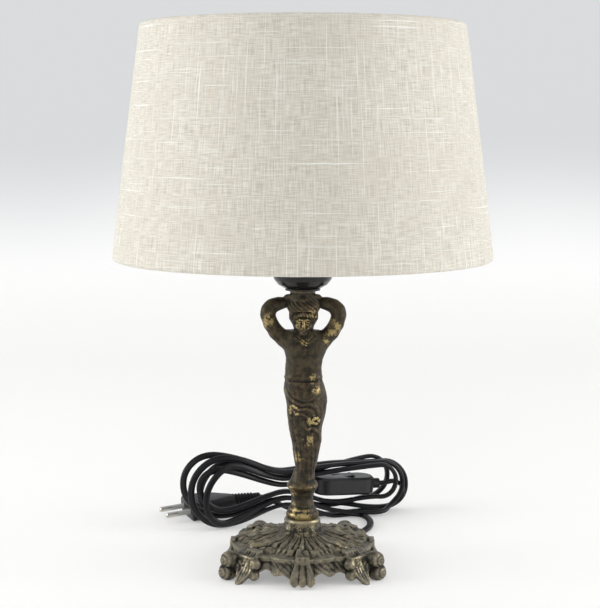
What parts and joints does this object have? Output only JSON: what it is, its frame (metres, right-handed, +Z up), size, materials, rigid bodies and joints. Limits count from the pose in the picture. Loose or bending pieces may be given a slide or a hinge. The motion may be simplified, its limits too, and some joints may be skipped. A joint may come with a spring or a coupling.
{
  "type": "figural table lamp",
  "caption": "Table lamp with a cast draped figure holding up the holder, a leafy footed base, a linen drum shade, and a flat cord tied in a hank with its switch and plug.",
  "frame": {"origin": "on the table, under the middle of the base", "axes": "+Z up along the lamp's column; the figure faces -Y; +X to the viewer's right"},
  "size_m": [0.2492, 0.279, 0.3601],
  "materials": {
    "base_bronze": "patinated, satin",
    "figure_bronze": "patinated, rubbed high spots",
    "steel": "zinc plated",
    "black_bakelite": "glossy",
    "black_disc": "satin",
    "ceramic": "unglazed",
    "brass": "plain",
    "wire_brown": "matte",
    "wire_blue": "matte",
    "linen": "slubby plain weave",
    "lining": "matte white film",
    "white_wire": "white coated wire",
    "cord_black": "semi-gloss",
    "plug_black": "semi-matte",
    "pin_nickel": "nickel plated",
    "pin_sleeve_grey": "matte"
  },
  "bodies": {
    "lamp": {"base_casting": "base_bronze", "figure_casting": "figure_bronze", "lower_nipple": "steel", "upper_nipple": "steel", "base_washer": "steel", "base_nut": "steel", "cord_bushing": "black_bakelite", "capital_disc": "black_disc", "holder_cap": "black_bakelite", "cap_lock_screw": "steel", "holder_sleeve": "black_bakelite", "contact_carrier": "ceramic", "screw_shell": "brass", "centre_contact": "brass", "terminal_screws": "steel", "wire_live": "wire_brown", "wire_neutral": "wire_blue", "lower_shade_ring": "black_bakelite", "cord_hank_lamp_side": "cord_black", "cord_hank_plug_side": "cord_black", "cord_lead": "cord_black", "cord_plug_lead": "cord_black", "cord_inner": "cord_black", "switch_upper_shell": "plug_black", "switch_lower_shell": "plug_black", "rocker_pin": "steel", "switch_screws": "steel", "plug_body": "plug_black", "plug_pins": "pin_nickel", "plug_pin_sleeves": "pin_sleeve_grey"},
    "shade_clamp": {"upper_shade_ring": "black_bakelite"},
    "shade": {"shade_cover": "linen", "shade_liner": "lining", "top_wire_ring": "white_wire", "shade_carrier": "white_wire"},
    "rocker": {"switch_rocker": "plug_black"}
  },
  "joints": [
    {"name": "shade_lift", "type": "slide", "parent": "lamp", "child": "shade_clamp", "axis": [0, 0, 1], "range_m": [0, 0.045]},
    {"name": "shade_turn", "type": "hinge", "parent": "shade_clamp", "child": "shade", "pos_m": [0, 0, 0.222], "axis": [0, 0, 1], "continuous": true},
    {"name": "switch_rocker_tilt", "type": "hinge", "parent": "lamp", "child": "rocker", "pos_m": [0.0312, 0.13236, 0.02869], "axis": [-0.342, 0.9397, 0], "range_deg": [0, 16]}
  ]
}
